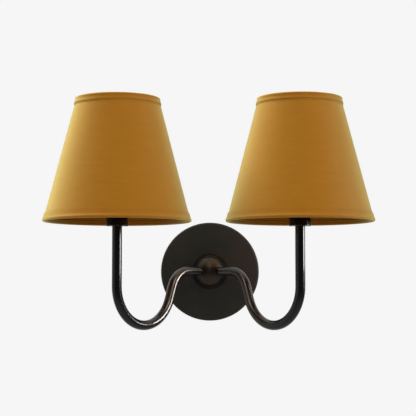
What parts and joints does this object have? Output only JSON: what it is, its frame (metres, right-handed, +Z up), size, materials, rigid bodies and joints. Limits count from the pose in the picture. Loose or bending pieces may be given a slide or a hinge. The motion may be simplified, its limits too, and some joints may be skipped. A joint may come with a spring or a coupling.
{
  "type": "double arm wall sconce",
  "caption": "Wall light with a round backplate, a domed hub, two swan-neck tube arms and two tapered cloth shades clipped on candle bulbs.",
  "frame": {"origin": "middle of the two wall screw slots on the bracket's back face, in the wall plane", "axes": "+X to the viewer's right, +Y into the wall, +Z up; the front faces -Y"},
  "size_m": [0.3414, 0.2167, 0.2398],
  "materials": {
    "dark_bronze": "satin dark bronze",
    "zinc_steel": "zinc plated",
    "green_screw": "green plated",
    "terminal_plastic": "moulded nylon",
    "sleeve_card": "satin dark bronze sleeve",
    "lampholder_plastic": "black moulded phenolic",
    "brass": "plain",
    "solder": "soldered tip",
    "frosted_glass": "frosted",
    "steel_wire": "plated wire",
    "shade_cloth": "plain woven mustard cotton on card",
    "shade_trim": "folded mustard cotton"
  },
  "bodies": {
    "fixture": {"wall_bracket": "zinc_steel", "backplate": "dark_bronze", "grub_screws": "zinc_steel", "earth_screw": "green_screw", "terminal_block": "terminal_plastic", "terminal_screws": "zinc_steel", "hub": "dark_bronze", "hub_nipple": "zinc_steel", "hub_washer": "zinc_steel", "hub_nut": "zinc_steel", "arm_left": "dark_bronze", "cup_left": "dark_bronze", "cup_nut_left": "zinc_steel", "candle_sleeve_left": "sleeve_card", "lampholder_left": "lampholder_plastic", "screw_shell_left": "brass", "centre_contact_left": "brass", "arm_right": "dark_bronze", "cup_right": "dark_bronze", "cup_nut_right": "zinc_steel", "candle_sleeve_right": "sleeve_card", "lampholder_right": "lampholder_plastic", "screw_shell_right": "brass", "centre_contact_right": "brass"},
    "bulb_left": {"bulb_glass_left": "frosted_glass", "bulb_cap_left": "brass", "bulb_contact_left": "solder"},
    "clip_left": {"bulb_clip_left": "steel_wire"},
    "shade_left": {"shade_cover_left": "shade_cloth", "shade_top_trim_left": "shade_trim", "shade_bottom_trim_left": "shade_trim", "shade_top_ring_left": "steel_wire", "shade_bottom_ring_left": "steel_wire"},
    "bulb_right": {"bulb_glass_right": "frosted_glass", "bulb_cap_right": "brass", "bulb_contact_right": "solder"},
    "clip_right": {"bulb_clip_right": "steel_wire"},
    "shade_right": {"shade_cover_right": "shade_cloth", "shade_top_trim_right": "shade_trim", "shade_bottom_trim_right": "shade_trim", "shade_top_ring_right": "steel_wire", "shade_bottom_ring_right": "steel_wire"}
  },
  "joints": [
    {"name": "bulb_turn_left", "type": "hinge", "parent": "fixture", "child": "bulb_left", "pos_m": [-0.09397, -0.13999, 0.08], "axis": [0, 0, 1], "continuous": true},
    {"name": "shade_lift_left", "type": "slide", "parent": "bulb_left", "child": "clip_left", "axis": [0, 0, 1], "range_m": [0, 0.125]},
    {"name": "shade_tilt_left", "type": "hinge", "parent": "clip_left", "child": "shade_left", "pos_m": [-0.09397, -0.13999, 0.1715], "axis": [1, 0, 0], "range_deg": [-12, 12]},
    {"name": "bulb_turn_right", "type": "hinge", "parent": "fixture", "child": "bulb_right", "pos_m": [0.09397, -0.13999, 0.08], "axis": [0, 0, 1], "continuous": true},
    {"name": "shade_lift_right", "type": "slide", "parent": "bulb_right", "child": "clip_right", "axis": [0, 0, 1], "range_m": [0, 0.125]},
    {"name": "shade_tilt_right", "type": "hinge", "parent": "clip_right", "child": "shade_right", "pos_m": [0.09397, -0.13999, 0.1715], "axis": [1, 0, 0], "range_deg": [-12, 12]}
  ]
}
